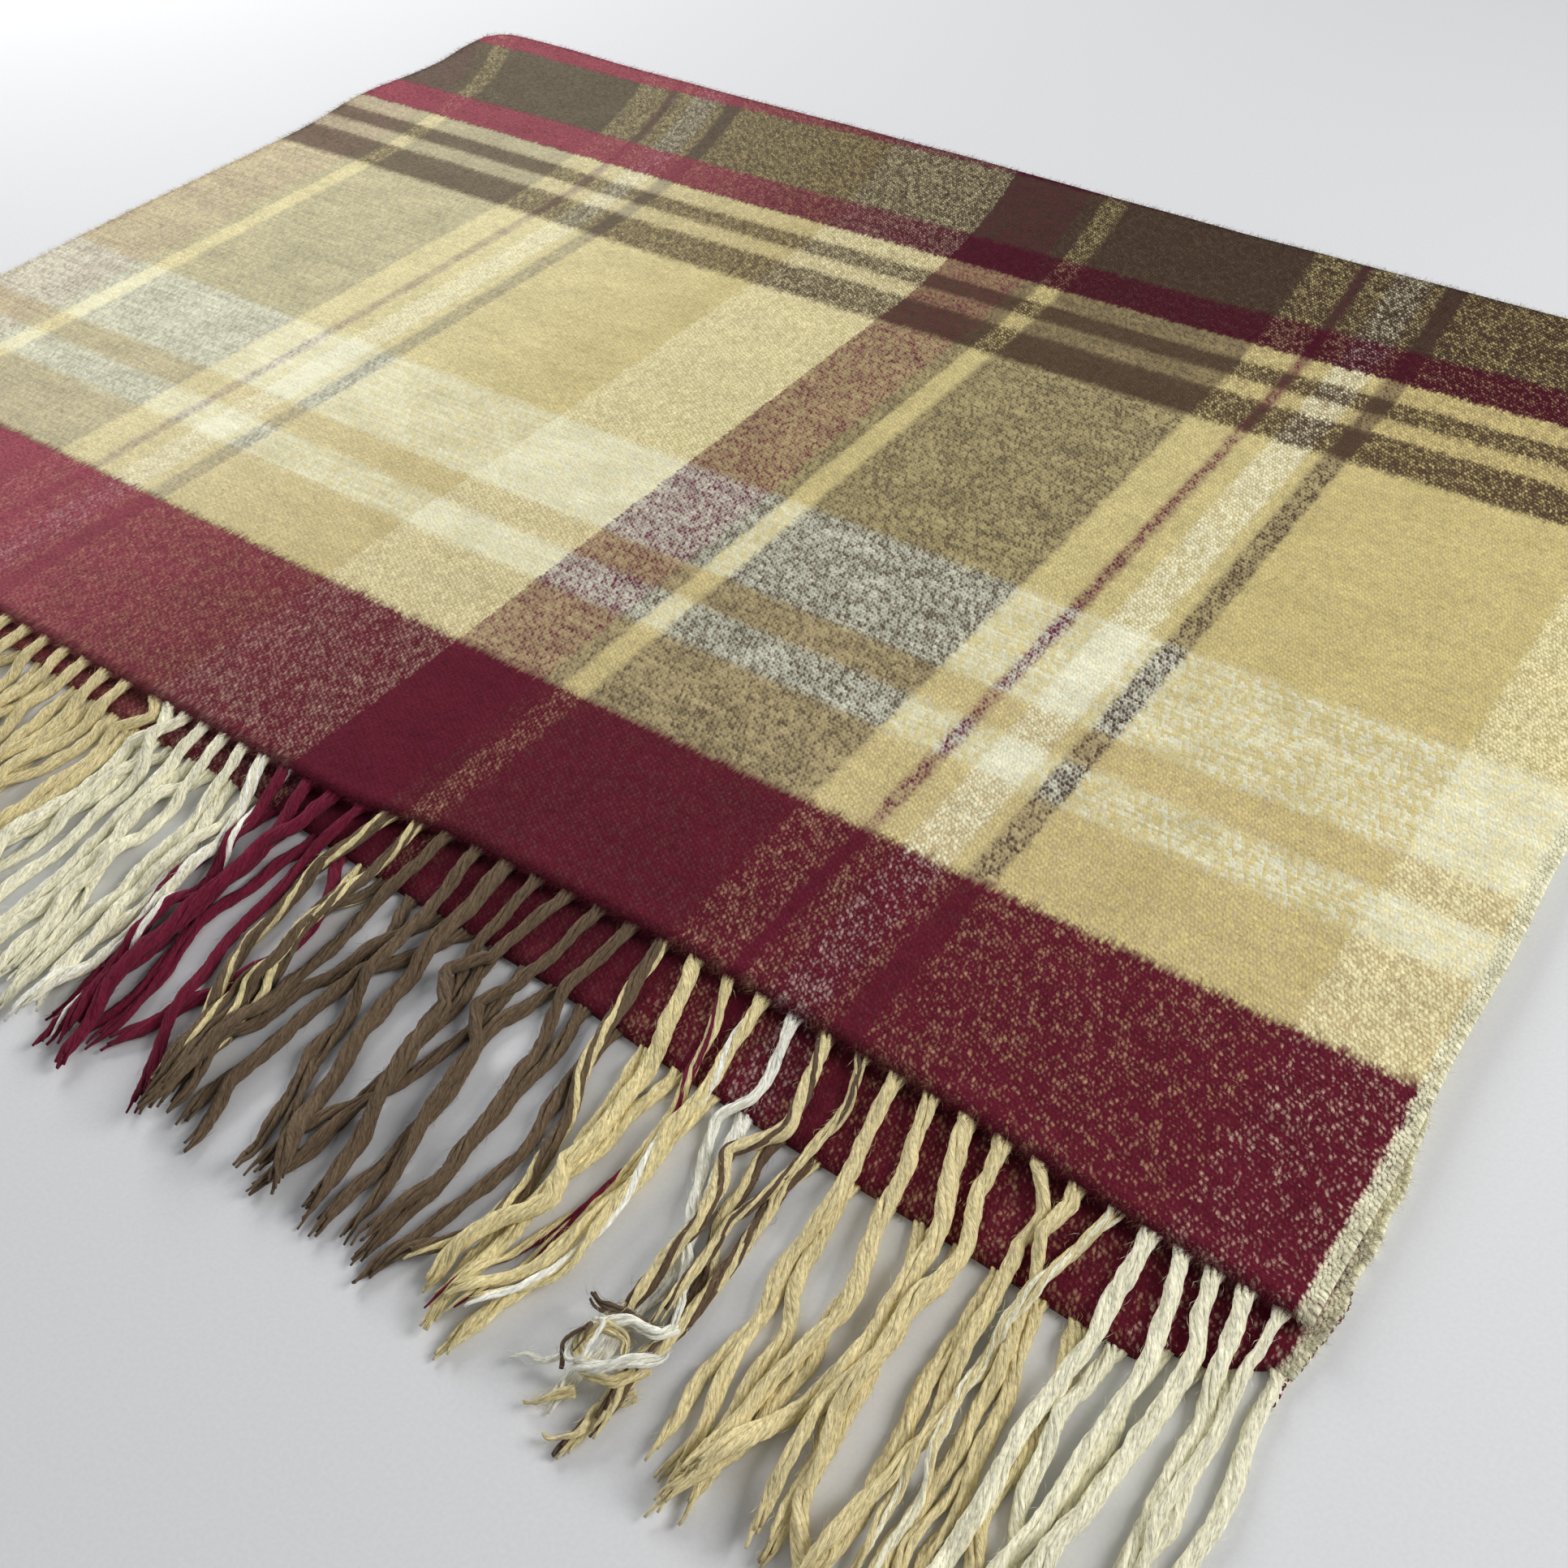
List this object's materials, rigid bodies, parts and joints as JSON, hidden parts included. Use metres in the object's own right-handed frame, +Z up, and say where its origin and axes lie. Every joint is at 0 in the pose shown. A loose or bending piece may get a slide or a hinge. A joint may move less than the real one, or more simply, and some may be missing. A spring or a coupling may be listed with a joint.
{
  "type": "folded throw blanket",
  "caption": "Folded woven plaid throw: two cloth layers joined by a crosswise fold, with twisted yarn tassels along both fringed edges.",
  "frame": {"origin": "under the middle of the folded throw's bounding box, on the surface it lies on", "axes": "+X along the fringed edge, +Y from the fringe towards the fold, +Z up"},
  "size_m": [0.71, 0.6303, 0.0056],
  "materials": {
    "woven_plaid": "brushed woven plaid in burgundy, tan, cream and brown",
    "burgundy_yarn": "twisted brushed yarn",
    "toffee_yarn": "brown and gold yarns twisted together",
    "brown_yarn": "twisted brushed yarn",
    "gold_yarn": "twisted brushed yarn",
    "white_yarn": "crinkled brushed yarn",
    "taupe_yarn": "tan and brown yarns twisted together",
    "tan_yarn": "twisted brushed yarn",
    "cream_yarn": "twisted brushed yarn"
  },
  "bodies": {
    "lower_layer": {"lower_panel": "woven_plaid", "lower_fold": "woven_plaid"},
    "upper_layer": {"upper_panel": "woven_plaid", "upper_fold": "woven_plaid"},
    "upper_fringe": {"upper_left_burgundy_tassels": "burgundy_yarn", "upper_left_toffee_tassels": "toffee_yarn", "upper_left_brown_tassels": "brown_yarn", "upper_left_gold_tassels": "gold_yarn", "upper_left_white_tassels": "white_yarn", "upper_left_taupe_tassels": "taupe_yarn", "upper_left_tan_tassels": "tan_yarn", "upper_left_cream_tassels": "cream_yarn", "upper_right_burgundy_tassels": "burgundy_yarn", "upper_right_toffee_tassels": "toffee_yarn", "upper_right_brown_tassels": "brown_yarn", "upper_right_gold_tassels": "gold_yarn", "upper_right_white_tassels": "white_yarn", "upper_right_taupe_tassels": "taupe_yarn", "upper_right_tan_tassels": "tan_yarn", "upper_right_cream_tassels": "cream_yarn"},
    "lower_fringe": {"lower_left_burgundy_tassels": "burgundy_yarn", "lower_left_toffee_tassels": "toffee_yarn", "lower_left_brown_tassels": "brown_yarn", "lower_left_gold_tassels": "gold_yarn", "lower_left_white_tassels": "white_yarn", "lower_left_taupe_tassels": "taupe_yarn", "lower_left_tan_tassels": "tan_yarn", "lower_left_cream_tassels": "cream_yarn", "lower_right_burgundy_tassels": "burgundy_yarn", "lower_right_toffee_tassels": "toffee_yarn", "lower_right_brown_tassels": "brown_yarn", "lower_right_gold_tassels": "gold_yarn", "lower_right_white_tassels": "white_yarn", "lower_right_taupe_tassels": "taupe_yarn", "lower_right_tan_tassels": "tan_yarn", "lower_right_cream_tassels": "cream_yarn"}
  },
  "joints": [
    {"name": "unfold", "type": "hinge", "parent": "lower_layer", "child": "upper_layer", "pos_m": [0, 0.2997, 0.0028], "axis": [-0.999, 0.0436, 0], "range_deg": [0, 180]},
    {"name": "upper_fringe_lift", "type": "hinge", "parent": "upper_layer", "child": "upper_fringe", "pos_m": [0, -0.1853, 0.0056], "axis": [-1, 0, 0], "range_deg": [0, 150]},
    {"name": "lower_fringe_lift", "type": "hinge", "parent": "lower_layer", "child": "lower_fringe", "pos_m": [0.003, -0.2043, 0.0026], "axis": [-0.9992, 0.0397, 0], "range_deg": [0, 90]}
  ],
  "couplings": [
    {"joint": "lower_fringe_lift", "follows": "upper_fringe_lift", "ratio": 0.6}
  ]
}
